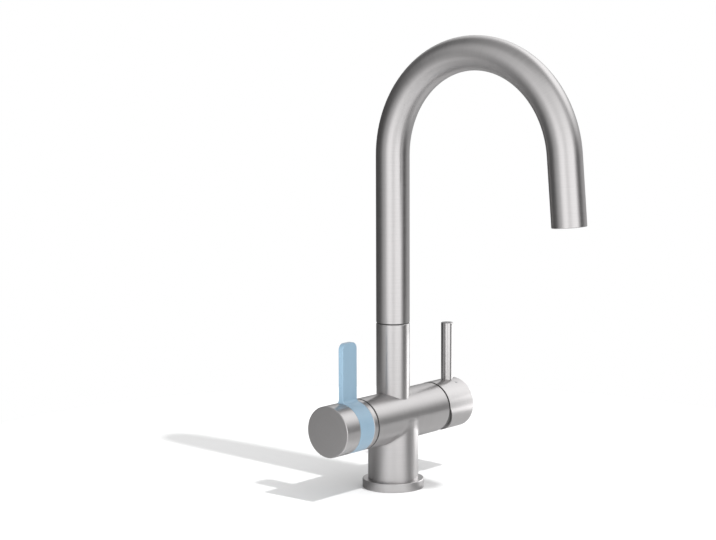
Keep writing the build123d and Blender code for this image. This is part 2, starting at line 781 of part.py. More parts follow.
# Pin lever: steel rod screwed into the knob.
with BuildPart() as pin_lever:
    with BuildSketch(Plane.XY.offset(pin_seat)):
        with Locations((pin_x, 0)):
            Circle(pin_r)
    extrude(amount=pin_top - pin_seat)
    chamfer(pin_lever.edges().sort_by(Axis.Z)[-1], edge_break)
    with BuildSketch(Plane.XY.offset(pin_seat)):
        with Locations((pin_x, 0)):
            Circle(pin_thread_r)
    extrude(amount=-pin_thread)
pin_lever.part.label = "pin_lever"
export_step(pin_lever.part, "parts/pin_lever.step")

# Grub screw that locks the knob on the stem.
with BuildPart() as knob_grub_screw:
    with BuildSketch(Plane.XY.offset(axis_z - stem_h / 2)):
        with Locations((grub_x, 0)):
            Circle(grub_r)
    extrude(amount=-grub_length)
    with BuildSketch(Plane.XY.offset(axis_z - stem_h / 2 - grub_length)):
        with Locations((grub_x, 0)):
            RegularPolygon(grub_r / 2, 6)
    extrude(amount=grub_r, mode=Mode.SUBTRACT)
knob_grub_screw.part.label = "knob_grub_screw"
export_step(knob_grub_screw.part, "parts/knob_grub_screw.step")

# Index dot: small plug on the user's side of the pin.
with BuildPart() as index_dot:
    with BuildSketch(dot_plane):
        Circle(dot_r)
    extrude(amount=dot_h)
index_dot.part.label = "index_dot"
export_step(index_dot.part, "parts/index_dot.step")

# ---------------------------------------------------------- filter valve

# Quarter turn valve: brass body screwed into the core, with a hexagon and a
# neck that guides the spindle.
valve_foot = core_in - valve_thread
chamber_h = 2 * valve_disc_h + 2 * disc_gap + 2.0
with BuildPart() as valve_body:
    with BuildSketch(Plane.YZ.offset(-core_in)):
        with Locations((0, axis_z)):
            Circle(valve_thread_r)
    extrude(amount=valve_thread)
    with BuildSketch(Plane.YZ.offset(-core_in)):
        with Locations((0, axis_z)):
            RegularPolygon(valve_hex_r, 6)
    extrude(amount=-valve_flange_h)
    with BuildSketch(Plane.YZ.offset(-core_in)):
        with Locations((0, axis_z)):
            Circle(valve_neck_r)
    extrude(amount=-(valve_neck_end - core_in))
    with BuildSketch(Plane.YZ.offset(-valve_neck_end)):
        with Locations((0, axis_z)):
            Circle(spindle_r + shaft_play)
    extrude(amount=valve_neck_end - valve_foot, mode=Mode.SUBTRACT)
    with BuildSketch(Plane.YZ.offset(-valve_foot)):
        with Locations((0, axis_z)):
            Circle(valve_disc_r + push_gap)
    extrude(amount=-chamber_h, mode=Mode.SUBTRACT)
valve_body.part.label = "valve_body"
export_step(valve_body.part, "parts/valve_body.step")

# Ceramic discs of the filter valve: one fixed, one turned by the spindle,
# each open over half of its face.
with BuildPart() as valve_fixed_disc:
    with BuildSketch(Plane.YZ.offset(-valve_foot)):
        with Locations((0, axis_z)):
            Circle(valve_disc_r)
        with Locations((0, axis_z - valve_disc_r / 2)):
            Rectangle(valve_disc_r, valve_disc_r / 2, mode=Mode.SUBTRACT)
    extrude(amount=-valve_disc_h)
valve_fixed_disc.part.label = "valve_fixed_disc"
export_step(valve_fixed_disc.part, "parts/valve_fixed_disc.step")

turned_disc_x = valve_foot + valve_disc_h + disc_gap
with BuildPart() as valve_turned_disc:
    with BuildSketch(Plane.YZ.offset(-turned_disc_x)):
        with Locations((0, axis_z)):
            Circle(valve_disc_r - push_gap)
        with Locations((valve_disc_r / 2, axis_z)):
            Rectangle(valve_disc_r / 2, valve_disc_r, mode=Mode.SUBTRACT)
    extrude(amount=-valve_disc_h)
valve_turned_disc.part.label = "valve_turned_disc"
export_step(valve_turned_disc.part, "parts/valve_turned_disc.step")

# Spindle: its foot turns the disc, its splined end carries the hub.
spindle_foot = turned_disc_x + valve_disc_h
foot_h = valve_foot + chamber_h - spindle_foot - disc_gap
with BuildPart() as valve_spindle:
    with BuildSketch(Plane.YZ.offset(-spindle_foot)):
        with Locations((0, axis_z)):
            Circle(valve_disc_r - 2 * push_gap)
    extrude(amount=-foot_h)
    with BuildSketch(Plane.YZ.offset(-spindle_foot)):
        with Locations((0, axis_z)):
            Circle(spindle_r)
    extrude(amount=-(spindle_end - spindle_foot))
    with BuildSketch(Plane.YZ.offset(-spindle_end)):
        with Locations((0, axis_z)):
            Circle(hub_screw_r + fixed_play)
    extrude(amount=hub_screw_length, mode=Mode.SUBTRACT)
valve_spindle.part.label = "valve_spindle"
export_step(valve_spindle.part, "parts/valve_spindle.step")

# Bearing ring: dark plastic sleeve in the mouth of the cross body. The hub
# turns on its nose, and its edge shows in the gap beside the body.
with BuildPart() as bearing_ring:
    with BuildSketch(filter_plane):
        with BuildLine():
            Polyline(
                (bearing_in, bearing_bore),
                (bearing_in, body_bore - fixed_play),
                (filter_end, body_bore - fixed_play),
                (filter_end, bearing_r),
                (bearing_nose, bearing_r),
                (bearing_nose, bearing_bore),
                close=True,
            )
        make_face()
    revolve(axis=cross_axis)
bearing_ring.part.label = "bearing_ring"
export_step(bearing_ring.part, "parts/bearing_ring.step")

# ---------------------------------------------------------- filter lever

# Hub: steel collar beside the body, with a spigot for the blue ring and a
# splined web on the spindle.
hub_bearing_bore = bearing_r + nipple_ring_play
bearing_floor = bearing_nose + run_gap
with BuildPart() as lever_hub:
    with BuildSketch(filter_plane):
        with BuildLine():
            Polyline(
                (collar_start, hub_bearing_bore),
                (collar_start, body_r - edge_break),
                (collar_start + edge_break, body_r),
                (ring_start - edge_break, body_r),
                (ring_start, body_r - edge_break),
                (ring_start, spigot_r),
                (spigot_end, spigot_r),
                (spigot_end, hub_bore),
                (web_start + web_h, hub_bore),
                (web_start + web_h, spindle_r + fixed_play),
                (web_start, spindle_r + fixed_play),
                (web_start, hub_bore),
                (bearing_floor, hub_bore),
                (bearing_floor, hub_bearing_bore),
                close=True,
            )
        make_face()
    revolve(axis=cross_axis)
    # keyway of the blue ring
    with BuildSketch(Plane.YZ.offset(-spigot_end)):
        with Locations((0, axis_z - spigot_r)):
            Rectangle(key_w + 2 * fixed_play, 2 * (key_h + fixed_play))
    extrude(amount=spigot_end - ring_start, mode=Mode.SUBTRACT)
lever_hub.part.label = "lever_hub"
export_step(lever_hub.part, "parts/lever_hub.step")

# Filter lever: one plastic moulding, a ring round the hub with a flat upright
# blade that flares into it, keyed to the hub at the bottom.
with BuildPart() as filter_lever:
    with BuildSketch(Plane.YZ.offset(-ring_end)) as lever_outline:
        with Locations((0, axis_z)):
            Circle(body_r)
        with Locations((0, (axis_z + lever_top) / 2)):
            Rectangle(lever_thick, lever_top - axis_z)
        roots = lever_outline.vertices().group_by(Axis.Y)[-2]
        fillet(roots, lever_root)
    extrude(amount=ring_end - ring_start)
    fillet(filter_lever.edges().filter_by(Axis.Y).group_by(Axis.Z)[-1], lever_corner)
    blade_faces = filter_lever.faces().filter_by(Axis.Y)
    blade_edges = [
        edge
        for face in blade_faces
        for edge in face.edges()
        if not (edge.center().Z < axis_z + body_r + lever_root and edge.length > ring_end - ring_start - 0.1)
    ]
    ring_edges = [
        edge
        for face in filter_lever.faces().filter_by(Axis.X)
        for edge in face.edges().filter_by(GeomType.CIRCLE)
    ]
    fillet(blade_edges + ring_edges, lever_edge)
    with BuildSketch(Plane.YZ.offset(-ring_end)) as lever_bore:
        with Locations((0, axis_z)):
            Circle(spigot_r + fixed_play)
        with Locations((0, axis_z - spigot_r)):
            Rectangle(key_w, 2 * key_h, mode=Mode.SUBTRACT)
    extrude(amount=ring_end - ring_start, mode=Mode.SUBTRACT)
filter_lever.part.label = "filter_lever"
export_step(filter_lever.part, "parts/filter_lever.step")

# End cap: deep drawn steel cap pushed into the hub, so that no screw shows.
plug_groove_x = plug_start + 2.0
plug_ring_r = 0.7
plug_ring_mid = hub_bore - plug_ring_r - fixed_play
with BuildPart() as end_cap:
    with BuildSketch(filter_plane):
        with BuildLine():
            Polyline(
                (cap_end, 0),
                (cap_end, body_r - cap_chamfer),
                (cap_end - cap_chamfer, body_r),
                (ring_end + edge_break, body_r),
                (ring_end, body_r - edge_break),
                (ring_end, body_r - cap_wall),
                (cap_end - cap_wall, body_r - cap_wall),
                (cap_end - cap_wall, plug_r),
                (plug_start, plug_r),
                (plug_start, plug_r - plug_wall),
                (cap_end - cap_wall, plug_r - plug_wall),
                (cap_end - cap_wall, 0),
                close=True,
            )
        make_face()
    revolve(axis=cross_axis)
    with BuildSketch(filter_plane):
        with Locations((plug_groove_x, plug_r)):
            Rectangle(2.6 * plug_ring_r, 2 * (plug_r - plug_ring_mid + plug_ring_r + fixed_play))
    revolve(axis=cross_axis, mode=Mode.SUBTRACT)
end_cap.part.label = "end_cap"
export_step(end_cap.part, "parts/end_cap.step")

with BuildPart() as cap_o_ring:
    with BuildSketch(filter_plane):
        with Locations((plug_groove_x, plug_ring_mid)):
            Circle(plug_ring_r)
    revolve(axis=cross_axis)
cap_o_ring.part.label = "cap_o_ring"
export_step(cap_o_ring.part, "parts/cap_o_ring.step")

# Screw that holds the hub on the spindle, under the cap.
hub_screw_seat = web_start + web_h
with BuildPart() as hub_screw:
    with BuildSketch(Plane.YZ.offset(-hub_screw_seat)):
        with Locations((0, axis_z)):
            Circle(hub_bore / 2)
    extrude(amount=-hub_screw_head_h / 3)
    with BuildSketch(Plane.YZ.offset(-hub_screw_seat)):
        with Locations((0, axis_z)):
            Circle(hub_screw_head_r)
    extrude(amount=-hub_screw_head_h)
    with BuildSketch(Plane.YZ.offset(-hub_screw_seat)):
        with Locations((0, axis_z)):
            Circle(hub_screw_r)
    extrude(amount=hub_screw_length)
    with BuildSketch(Plane.YZ.offset(-hub_screw_seat - hub_screw_head_h)):
        with Locations((0, axis_z)):
            Rectangle(2 * hub_screw_head_r, hub_screw_r / 2)
            Rectangle(hub_screw_r / 2, 2 * hub_screw_head_r)
    extrude(amount=hub_screw_head_h / 2, mode=Mode.SUBTRACT)
hub_screw.part.label = "hub_screw"
export_step(hub_screw.part, "parts/hub_screw.step")

# ----------------------------------------------------------------- spout

# Bearing ring on top of the neck. The spout stands on it, and it shows as
# the thin dark line between the two.
slide_bore = nipple_r + run_gap / 2
with BuildPart() as slide_ring:
    with BuildSketch(Plane.XY.offset(neck_top)):
        Circle(neck_r - slide_h)
        Circle(slide_bore, mode=Mode.SUBTRACT)
    extrude(amount=slide_h)
slide_ring.part.label = "slide_ring"
export_step(slide_ring.part, "parts/slide_ring.step")

# The spout's centre line lies in the Y-Z plane: x on this plane is the reach
# towards the user, y the height.
spout_plane = Plane(origin=(0, 0, 0), x_dir=(0, -1, 0), z_dir=(-1, 0, 0))
with BuildLine(spout_plane) as spout_line:
    rise = Line((0, spout_foot), (0, bend_z))
    arch = CenterArc((arch_r, bend_z), arch_r, 180, -arch_angle)
    drop = Line(arch @ 1, arch @ 1 + (arch % 1) * outlet_run)
outlet = Plane(origin=drop @ 1, x_dir=(1, 0, 0), z_dir=drop % 1)

# Spout: bent steel tube.
with BuildPart() as spout_tube:
    with BuildSketch(Plane.XY.offset(spout_foot)):
        Circle(neck_r)
    sweep(path=spout_line.wire())
    chamfer(spout_tube.faces().sort_by_distance((0, 0, spout_foot))[0].edges(), edge_break)
    chamfer(spout_tube.faces().sort_by_distance(outlet.origin)[0].edges(), edge_break)
    with BuildSketch(Plane.XY.offset(spout_foot)):
        Circle(spout_bore)
    sweep(path=spout_line.wire(), mode=Mode.SUBTRACT)
spout_tube.part.label = "spout_tube"
export_step(spout_tube.part, "parts/spout_tube.step")

# Nipple: brass foot of the spout, fixed in the tube and turning in the neck.
# The filtered water passes through its middle, the mixed water through the
# ring of holes round it.
nipple_top = spout_foot + nipple_grip
o_ring_r = 1.0
o_ring_mid = neck_bore - o_ring_r - fixed_play
guide_r = neck_bore - nipple_ring_play
guide_floor = guide_r - 1.0
nipple_socket_z = nipple_top - hose_socket
with BuildPart() as swivel_nipple:
    with BuildSketch(Plane.XY.offset(nipple_foot)):
        Circle(nipple_r)
    extrude(amount=spout_foot - nipple_foot)
    with BuildSketch(Plane.XY.offset(spout_foot)):
        Circle(spout_bore - fixed_play)
    extrude(amount=nipple_grip)
    with BuildSketch(Plane.XZ):
        with Locations(*[(nipple_r, z) for z in o_ring_z]):
            Rectangle(2 * (nipple_r - o_ring_mid + o_ring_r + fixed_play), 2.6 * o_ring_r)
        with Locations(*[(nipple_r, z) for z in guide_z]):
            Rectangle(2 * (nipple_r - guide_floor), guide_h + 2 * fixed_play)
        with Locations((nipple_r, latch_z)):
            Rectangle(2 * (nipple_r - latch_floor), latch_h)
    revolve(axis=Axis.Z, mode=Mode.SUBTRACT)
    with BuildSketch(Plane.XY.offset(nipple_foot)):
        Circle(hose_r - hose_wall)
        with PolarLocations(nipple_way_pitch_r, nipple_ways):
            Circle(nipple_way_r)
    extrude(amount=nipple_top - nipple_foot, mode=Mode.SUBTRACT)
    with BuildSketch(Plane.XY.offset(nipple_foot)):
        Circle(riser_r + run_gap)
    extrude(amount=riser_top - nipple_foot + 2, mode=Mode.SUBTRACT)
    with BuildSketch(Plane.XY.offset(nipple_socket_z)):
        Circle(hose_r + fixed_play)
    extrude(amount=nipple_top - nipple_socket_z, mode=Mode.SUBTRACT)
swivel_nipple.part.label = "swivel_nipple"
export_step(swivel_nipple.part, "parts/swivel_nipple.step")

# O-rings and plastic guide rings of the nipple.
with BuildPart() as nipple_o_rings:
    with BuildSketch(Plane.XZ):
        with Locations(*[(o_ring_mid, z) for z in o_ring_z]):
            Circle(o_ring_r)
    revolve(axis=Axis.Z)
nipple_o_rings.part.label = "nipple_o_rings"
export_step(nipple_o_rings.part, "parts/nipple_o_rings.step")

with BuildPart() as guide_rings:
    with BuildSketch(Plane.XZ):
        with Locations(*[((guide_floor + guide_r + fixed_play) / 2, z) for z in guide_z]):
            Rectangle(guide_r - guide_floor - fixed_play, guide_h)
    revolve(axis=Axis.Z)
guide_rings.part.label = "guide_rings"
export_step(guide_rings.part, "parts/guide_rings.step")

# Latch screw at the back of the neck. Its tip runs in the nipple's groove.
latch_plane = Plane.XZ.offset(-(neck_r - edge_break))
latch_tip = neck_r - edge_break - latch_floor - 2 * run_gap
with BuildPart() as latch_screw:
    with BuildSketch(latch_plane):
        with Locations((0, latch_z)):
            Circle(latch_screw_r)
    extrude(amount=neck_wall - edge_break)
    with BuildSketch(latch_plane):
        with Locations((0, latch_z)):
            Circle(latch_tip_r)
    extrude(amount=latch_tip)
    with BuildSketch(latch_plane):
        with Locations((0, latch_z)):
            RegularPolygon(latch_screw_r / 2, 6)
    extrude(amount=neck_wall / 2, mode=Mode.SUBTRACT)
latch_screw.part.label = "latch_screw"
export_step(latch_screw.part, "parts/latch_screw.step")

# Aerator: threaded holder flush in the outlet, a screen with a ring of
# slots, and a nozzle in the middle for the filtered water.
with BuildPart() as aerator_holder:
    with BuildSketch(outlet.offset(-aerator_inset)):
        Circle(aerator_r)
        Circle(aerator_r - aerator_wall, mode=Mode.SUBTRACT)
    extrude(amount=-aerator_h)
aerator_holder.part.label = "aerator_holder"
export_step(aerator_holder.part, "parts/aerator_holder.step")

screen_r = aerator_r - aerator_wall - fixed_play
slot_length = screen_r - nozzle_r - 2.0
with BuildPart() as aerator_screen:
    with BuildSketch(outlet.offset(-screen_inset)):
        Circle(screen_r)
        Circle(nozzle_r + fixed_play, mode=Mode.SUBTRACT)
        with PolarLocations((screen_r + nozzle_r) / 2, 16):
            Rectangle(slot_length, 1.2, mode=Mode.SUBTRACT)
    extrude(amount=-screen_h)
aerator_screen.part.label = "aerator_screen"
export_step(aerator_screen.part, "parts/aerator_screen.step")

with BuildPart() as filter_nozzle:
    with BuildSketch(outlet.offset(-aerator_inset)):
        Circle(nozzle_r)
        Circle(nozzle_bore, mode=Mode.SUBTRACT)
    extrude(amount=-nozzle_h)
    with BuildSketch(outlet.offset(-aerator_inset - nozzle_h)):
        Circle(nozzle_r + hose_wall)
        Circle(hose_r + fixed_play, mode=Mode.SUBTRACT)
    extrude(amount=-nozzle_socket_h)
filter_nozzle.part.label = "filter_nozzle"
export_step(filter_nozzle.part, "parts/filter_nozzle.step")

# Filtered water hose along the middle of the spout, from the nipple's socket
# to the nozzle's.
hose_end_run = outlet_run - aerator_inset - nozzle_h
with BuildLine(spout_plane) as hose_line:
    hose_rise = Line((0, nipple_socket_z), (0, bend_z))
    hose_arch = CenterArc((arch_r, bend_z), arch_r, 180, -arch_angle)
    Line(hose_arch @ 1, hose_arch @ 1 + (hose_arch % 1) * hose_end_run)
with BuildPart() as filter_hose:
    with BuildSketch(Plane.XY.offset(nipple_socket_z)):
        Circle(hose_r)
        Circle(hose_r - hose_wall, mode=Mode.SUBTRACT)
    sweep(path=hose_line.wire())
filter_hose.part.label = "filter_hose"
export_step(filter_hose.part, "parts/filter_hose.step")
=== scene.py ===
import math

import bpy
from mathutils import Matrix, Vector


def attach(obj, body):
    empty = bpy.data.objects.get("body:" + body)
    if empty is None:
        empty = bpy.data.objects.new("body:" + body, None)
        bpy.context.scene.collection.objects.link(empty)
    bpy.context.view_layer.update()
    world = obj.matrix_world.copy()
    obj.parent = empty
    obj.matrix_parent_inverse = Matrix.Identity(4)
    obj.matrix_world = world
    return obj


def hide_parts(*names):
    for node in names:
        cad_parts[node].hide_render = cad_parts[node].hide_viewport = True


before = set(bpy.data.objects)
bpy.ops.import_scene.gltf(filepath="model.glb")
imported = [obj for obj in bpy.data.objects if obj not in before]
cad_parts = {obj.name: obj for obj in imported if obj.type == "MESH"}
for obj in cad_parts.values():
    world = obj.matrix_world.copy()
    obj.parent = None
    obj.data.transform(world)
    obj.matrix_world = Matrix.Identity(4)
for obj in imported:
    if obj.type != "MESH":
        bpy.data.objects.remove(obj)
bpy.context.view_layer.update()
bpy.ops.object.select_all(action="DESELECT")

# ---------------------------------------------------------------- camera
# The photograph is taken from the front left, a little above the worktop,
# with a long lens.
camera_data = bpy.data.cameras.new("camera")
camera_data.sensor_width = 36.0
camera_data.lens = 104.52
camera_data.clip_end = 60.0
camera = bpy.data.objects.new("camera", camera_data)
bpy.context.scene.collection.objects.link(camera)
camera_place = (-1.34324, -1.06648, 0.40529)
yaw, pitch, roll = math.radians(50.583), math.radians(-7.361), math.radians(-0.21)
sight = Vector((math.sin(yaw) * math.cos(pitch), math.cos(yaw) * math.cos(pitch), math.sin(pitch)))
level_right = Vector((math.cos(yaw), -math.sin(yaw), 0.0))
level_up = level_right.cross(sight)
right = math.cos(roll) * level_right + math.sin(roll) * level_up
up = math.cos(roll) * level_up - math.sin(roll) * level_right
turn = Matrix((right, up, -sight)).transposed().to_4x4()
camera.matrix_world = Matrix.Translation(camera_place) @ turn
bpy.context.scene.camera = camera


# --------------------------------------------------------------- worktop
# Plain white surface that the tap stands on. Its reflection in the steel is painted:
# the front half is painted brighter than the half behind the tap, as under a light in
# front, and beside the foot, where the flange's wall shows it, the right side is painted white.
def add_node(tree, kind, sockets=None, **settings):
    """One node with its settings; a socket takes a value or another node's output."""
    made = tree.nodes.new("ShaderNode" + kind)
    for name, value in settings.items():
        setattr(made, name, value)
    for name, value in (sockets or {}).items():
        if isinstance(value, bpy.types.NodeSocket):
            tree.links.new(value, made.inputs[name])
        else:
            made.inputs[name].default_value = value
    return made


def arithmetic(tree, operation, *terms):
    """One sum on numbers or other nodes' outputs."""
    return add_node(tree, "Math", dict(enumerate(terms)), operation=operation).outputs["Value"]


def mix_colours(tree, share, first, second):
    """A colour between two, by share from 0 to 1."""
    mixed = add_node(tree, "Mix", {"Factor": share, "A": first, "B": second}, data_type="RGBA")
    return mixed.outputs["Result"]


def bearing_round(tree, place):
    """Bearing of a point or direction from the front left, as 0 to 1 from back to back."""
    to_front_left = (0, 0, math.radians(141.5))
    facing = add_node(tree, "Mapping", {"Vector": place, "Rotation": to_front_left})
    split = add_node(tree, "SeparateXYZ", {"Vector": facing.outputs["Vector"]}).outputs
    angle = arithmetic(tree, "ARCTAN2", split["Y"], split["X"])
    return arithmetic(tree, "MULTIPLY_ADD", angle, 1 / (2 * math.pi), 0.5)


def light_ring(tree, bearing, levels, full):
    """Light level by bearing in degrees, as a ramp where white is the level named full."""
    ring = add_node(tree, "ValToRGB", {"Fac": bearing})
    steps = ring.color_ramp.elements
    steps.remove(steps[1])
    for count, (degrees, level) in enumerate(levels):
        step = steps[0] if count == 0 else steps.new(0.5 + degrees / 360)
        step.position = 0.5 + degrees / 360
        step.color = (level / full, level / full, level / full, 1)
    return ring.outputs["Color"]


worktop_r = 0.46
worktop_full = 1.15
painted_patch_inner_r, painted_patch_outer_r = 0.050, 0.070
bpy.ops.mesh.primitive_circle_add(vertices=96, radius=worktop_r, fill_type="NGON", location=(0, 0, 0))
worktop = bpy.context.object
worktop.name = "worktop"
worktop_look = bpy.data.materials.new("white_worktop_painted_reflection")
worktop_look.use_nodes = True
tree = worktop_look.node_tree
tree.nodes.clear()
matt = add_node(tree, "BsdfDiffuse", {"Color": (0.88, 0.88, 0.88, 1)})
place = add_node(tree, "TexCoord").outputs["Object"]
bearing = bearing_round(tree, place)
# painted light levels round the tap by bearing, seen only in the steel's reflections
left_and_front = [
    (-180, 0.5), (-130, 0.4), (-85, 0.4), (-60, 0.5), (-40, 0.9), (-10, 1.05), (30, 0.95), (50, 0.65),
    (68, 0.4),
]
right_far = [(85, 0.5), (105, 0.8), (140, 0.7), (180, 0.5)]
right_near = [(77, 0.5), (84, 1.15), (110, 1.15), (120, 0.75), (180, 0.5)]
painted_light_away_from_foot = light_ring(tree, bearing, left_and_front + right_far, worktop_full)
painted_light_near_foot = light_ring(tree, bearing, left_and_front + right_near, worktop_full)
from_foot = add_node(tree, "VectorMath", {0: place}, operation="LENGTH").outputs["Value"]
away = add_node(tree, "MapRange", {"Value": from_foot, "From Min": painted_patch_inner_r, "From Max": painted_patch_outer_r})
painted_reflection_colour = mix_colours(tree, away.outputs["Result"], painted_light_near_foot, painted_light_away_from_foot)
# painted reflection: reflected rays see these painted light levels instead of the plain white
painted_reflection = add_node(tree, "BsdfDiffuse", {"Color": painted_reflection_colour})
path = add_node(tree, "LightPath")
pick = add_node(
    tree,
    "MixShader",
    {"Fac": path.outputs["Is Glossy Ray"], 1: matt.outputs["BSDF"], 2: painted_reflection.outputs["BSDF"]},
)
add_node(tree, "OutputMaterial", {"Surface": pick.outputs["Shader"]})
worktop.data.materials.append(worktop_look)


# ---------------------------------------------------------------- lights
# A lamp high in front throws the crisp shadow on the worktop. The studio has
# a broad soft light in front, a bright ceiling on the right, and dark walls
# on both sides, and these draw the stripes down the steel.
def add_lamp(name, data, place, turn, pieces):
    """A lamp at its place that lights only the pieces given."""
    lamp = bpy.data.objects.new(name, data)
    bpy.context.scene.collection.objects.link(lamp)
    lamp.location = place
    lamp.rotation_euler = turn
    lit = bpy.data.collections.new("lit_by_" + name)
    for piece in pieces:
        lit.objects.link(piece)
    lamp.light_linking.receiver_collection = lit
    return lamp


key_data = bpy.data.lights.new("key_lamp", "SPOT")
key_data.energy = 100.0
key_data.shadow_soft_size = 0.028
key_data.spot_size = math.radians(120)
key_data.spot_blend = 0.3
key_data.use_nodes = True
even = add_node(key_data.node_tree, "LightFalloff", {"Strength": 0.24}).outputs["Constant"]
key_data.node_tree.links.new(even, key_data.node_tree.nodes["Emission"].inputs["Strength"])
key_place = Vector((-0.10, -1.0, 1.44))
to_the_foot = (-key_place).to_track_quat("-Z", "Y").to_euler()
key_lamp = add_lamp("key_lamp", key_data, key_place, to_the_foot, [worktop])
key_lamp.visible_glossy = False

# a low bright card on the right lights the right edges of the steel pieces
card_data = bpy.data.lights.new("low_card", "AREA")
card_data.shape = "RECTANGLE"
card_data.size = 0.17
card_data.size_y = 0.11
card_data.energy = 0.125
card_lit = [
    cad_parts[name] for name in ("column", "neck", "mixer_knob", "pin_lever", "base_flange")
]
facing_left = (math.radians(90), 0, math.radians(90))
low_card = add_lamp("low_card", card_data, (0.195, -0.043, 0.057), facing_left, card_lit)
low_card.visible_camera = False

# a weak fill from the left keeps the plastic lever's narrow side as pale as
# a slightly translucent moulding looks
fill_data = bpy.data.lights.new("lever_fill", "AREA")
fill_data.size = 0.3
fill_data.energy = 1.8
facing_right = (math.radians(90), 0, math.radians(-90))
lever_fill = add_lamp(
    "lever_fill", fill_data, (-0.66, 0.05, 0.20), facing_right, [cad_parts["filter_lever"]]
)
lever_fill.visible_camera = False
lever_fill.visible_glossy = False

world = bpy.data.worlds.new("white_room")
bpy.context.scene.world = world
world.use_nodes = True
tree = world.node_tree
tree.nodes.clear()
towards = add_node(tree, "TexCoord").outputs["Generated"]
bearing = bearing_round(tree, towards)
height = add_node(tree, "SeparateXYZ", {"Vector": towards}).outputs["Z"]
room_full = 3.0
low_light = light_ring(
    tree,
    bearing,
    [
        (-180, 0.5), (-120, 0.45), (-90, 0.55), (-60, 1.0), (-30, 1.4), (30, 1.2), (50, 1.0), (60, 0.60),
        (85, 0.40), (105, 0.8), (140, 0.7), (180, 0.5),
    ],
    room_full,
)
eye_light = light_ring(
    tree,
    bearing,
    [
        (-180, 0.2), (-150, 0.1), (-95, 0.1), (-85, 0.2), (-72, 0.55), (-60, 0.7), (-50, 0.9), (-38, 1.7),
        (-28, 2.0), (-15, 2.1), (-2, 1.5), (8, 1.4), (18, 1.9), (35, 2.0), (54, 2.15), (61, 1.1), (71, 0.50),
        (80, 0.02), (93, 0.03), (102, 0.2), (112, 0.45), (135, 0.6), (160, 0.5), (180, 0.2),
    ],
    room_full,
)
high_light = light_ring(
    tree,
    bearing,
    [
        (-180, 1.2), (-165, 0.8), (-148, 0.2), (-115, 0.2), (-90, 0.5), (-72, 0.8), (-40, 1.0), (0, 1.3),
        (20, 1.5), (45, 1.6), (58, 1.0), (76, 0.8), (88, 0.9), (100, 1.9), (120, 2.1), (150, 1.9),
        (165, 1.6), (180, 1.2),
    ],
    room_full,
)
overhead = (0.17, 0.17, 0.17, 1)
# each ring takes over from the one at eye height between two heights
level = eye_light
for ring, start, end in ((low_light, -0.20, -0.55), (high_light, 0.07, 0.52), (overhead, 0.72, 0.97)):
    share = add_node(
        tree,
        "MapRange",
        {"Value": height, "From Min": start, "From Max": end},
        interpolation_type="SMOOTHSTEP",
    )
    level = mix_colours(tree, share.outputs["Result"], level, ring)
studio = add_node(tree, "Background", {"Color": level, "Strength": room_full})
seen = add_node(tree, "Background", {"Color": (1, 1, 1, 1), "Strength": 1.0})
path = add_node(tree, "LightPath")
pick = add_node(
    tree,
    "MixShader",
    {"Fac": path.outputs["Is Camera Ray"], 1: studio.outputs["Background"], 2: seen.outputs["Background"]},
)
add_node(tree, "OutputWorld", {"Surface": pick.outputs["Shader"]})
bpy.context.scene.view_settings.view_transform = "Standard"


# ------------------------------------------ column, cross body and neck
# Three stainless tubes welded into one body: the column on the flange, the
# level cross body with a valve in each end, and the neck that the spout turns
# in. They are satin brushed round and round, which leaves fine rings.
def dress(names, look):
    """Gives CAD pieces their finish."""
    for name in names:
        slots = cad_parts[name].data.materials
        slots.clear()
        slots.append(look)


def new_look(name, constants):
    """A new material with its tree and its shader, which gets the constants given."""
    look = bpy.data.materials.new(name)
    look.use_nodes = True
    shader = look.node_tree.nodes["Principled BSDF"]
    for socket, value in constants.items():
        shader.inputs[socket].default_value = value
    return look, look.node_tree, shader


def tinted(tree, share, colour, dark, light):
    """A colour that wanders between its dark and light shares."""
    darker = [c * dark for c in colour] + [1]
    lighter = [min(1, c * light) for c in colour] + [1]
    return mix_colours(tree, share, darker, lighter)


def roughen(tree, shader, share, smooth, rough, start=0.0, end=1.0):
    """Roughness that goes from smooth to rough while the share goes from start to end."""
    limits = {"From Min": start, "From Max": end, "To Min": smooth, "To Max": rough}
    tone = add_node(tree, "MapRange", {"Value": share, **limits})
    tree.links.new(tone.outputs["Result"], shader.inputs["Roughness"])


def emboss(tree, shader, height, strength, depth):
    """Fine relief in the surface."""
    bump = add_node(tree, "Bump", {"Height": height, "Strength": strength, "Distance": depth})
    tree.links.new(bump.outputs["Normal"], shader.inputs["Normal"])


def brush_rings(tree, along, first, second, grain):
    """Place for brush marks that run round a tube: fine along it and long across it."""
    stretch = 60.0
    rings = {
        0: arithmetic(tree, "MULTIPLY", along, grain),
        1: arithmetic(tree, "MULTIPLY", first, stretch),
        2: arithmetic(tree, "MULTIPLY", second, stretch),
    }
    return add_node(tree, "CombineXYZ", rings).outputs["Vector"]


def scratches(tree, rings):
    """Fine scratches of the brush, as 0 to 1."""
    scratch = add_node(tree, "TexNoise", {"Vector": rings, "Scale": 1.0, "Detail": 3.0, "Roughness": 0.6})
    return scratch.outputs["Fac"]


